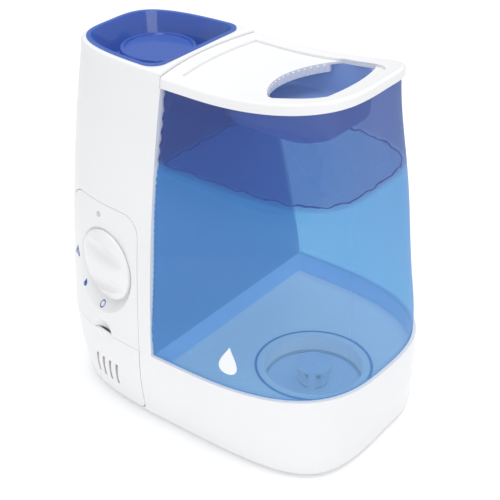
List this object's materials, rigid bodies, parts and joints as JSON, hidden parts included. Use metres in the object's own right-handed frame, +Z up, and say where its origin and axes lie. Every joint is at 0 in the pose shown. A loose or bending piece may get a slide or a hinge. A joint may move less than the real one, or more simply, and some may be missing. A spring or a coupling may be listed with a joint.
{
  "type": "cool mist humidifier",
  "caption": "Tabletop ultrasonic humidifier with a lift-off translucent water tank, a mist tower with a lift-out bowl, a turning mist control and a pull-out scent drawer.",
  "frame": {"origin": "centre of the footprint, on the surface the humidifier stands on", "axes": "+Z up, -Y the front with the control and the drawer, +X from the mist tower to the water tank"},
  "size_m": [0.289, 0.207, 0.3169],
  "materials": {
    "white_plastic": "satin",
    "tank_plastic": "gloss",
    "bowl_plastic": "gloss",
    "inner_plastic": "matte",
    "dark_plastic": "matte",
    "seal_rubber": "matte",
    "foot_rubber": "matte",
    "pad_fabric": "matte",
    "steel": "satin",
    "brass": "satin",
    "aluminium": "satin",
    "circuit_board": "satin",
    "lens_plastic": "gloss"
  },
  "bodies": {
    "base": {"base_housing": "white_plastic", "tower_housing": "white_plastic", "tower_cap": "white_plastic", "control_panel": "white_plastic", "cord_gland": "white_plastic", "bottom_cover": "inner_plastic", "water_tray": "inner_plastic", "mist_duct": "inner_plastic", "air_duct": "inner_plastic", "drawer_guide": "inner_plastic", "float_clip": "inner_plastic", "transducer_clamp": "inner_plastic", "fan_frame": "dark_plastic", "rotary_switch": "dark_plastic", "power_capacitors": "dark_plastic", "duct_seal": "seal_rubber", "transducer_seal": "seal_rubber", "rubber_feet": "foot_rubber", "cover_screws": "steel", "fan_motor": "steel", "power_transformer": "steel", "transducer_disc": "brass", "heat_sink": "aluminium", "driver_board": "circuit_board", "power_board": "circuit_board", "power_light": "lens_plastic"},
    "knob": {"control_knob": "white_plastic", "knob_shaft": "steel"},
    "drawer": {"pad_drawer": "white_plastic", "scent_pad": "pad_fabric"},
    "bowl": {"mist_bowl": "bowl_plastic", "mist_nozzle": "bowl_plastic"},
    "tank": {"tank_shell": "tank_plastic", "handle_pocket": "tank_plastic", "tank_lid": "white_plastic"},
    "cap": {"tank_cap": "white_plastic", "cap_seal": "seal_rubber", "valve_spring": "steel"},
    "valve": {"valve_stem": "inner_plastic", "valve_seal": "seal_rubber"},
    "float": {"float_ring": "inner_plastic"},
    "fan": {"fan_impeller": "dark_plastic"}
  },
  "joints": [
    {"name": "knob_turn", "type": "hinge", "parent": "base", "child": "knob", "pos_m": [-0.0723, -0.09286, 0.1359], "axis": [-0.1908, -0.9816, 0.0087], "range_deg": [0, 75]},
    {"name": "drawer_slide", "type": "slide", "parent": "base", "child": "drawer", "axis": [0, -1, 0], "range_m": [0, 0.032]},
    {"name": "bowl_lift", "type": "slide", "parent": "base", "child": "bowl", "axis": [0, 0, 1], "range_m": [0, 0.04]},
    {"name": "tank_lift", "type": "slide", "parent": "base", "child": "tank", "axis": [0, 0, 1], "range_m": [0, 0.06]},
    {"name": "cap_turn", "type": "hinge", "parent": "tank", "child": "cap", "pos_m": [0.082, -0.014, 0.045], "axis": [0, 0, 1], "range_deg": [0, 90]},
    {"name": "valve_push", "type": "slide", "parent": "cap", "child": "valve", "axis": [0, 0, 1], "range_m": [0, 0.0034], "stiffness_N_per_m": 300, "springref_m": -0.002, "deforming": ["valve_spring"]},
    {"name": "float_rise", "type": "slide", "parent": "base", "child": "float", "axis": [0, 0, 1], "range_m": [0, 0.008]},
    {"name": "fan_spin", "type": "hinge", "parent": "base", "child": "fan", "pos_m": [-0.076, -0.042, 0.03], "axis": [0, 1, 0], "continuous": true}
  ]
}
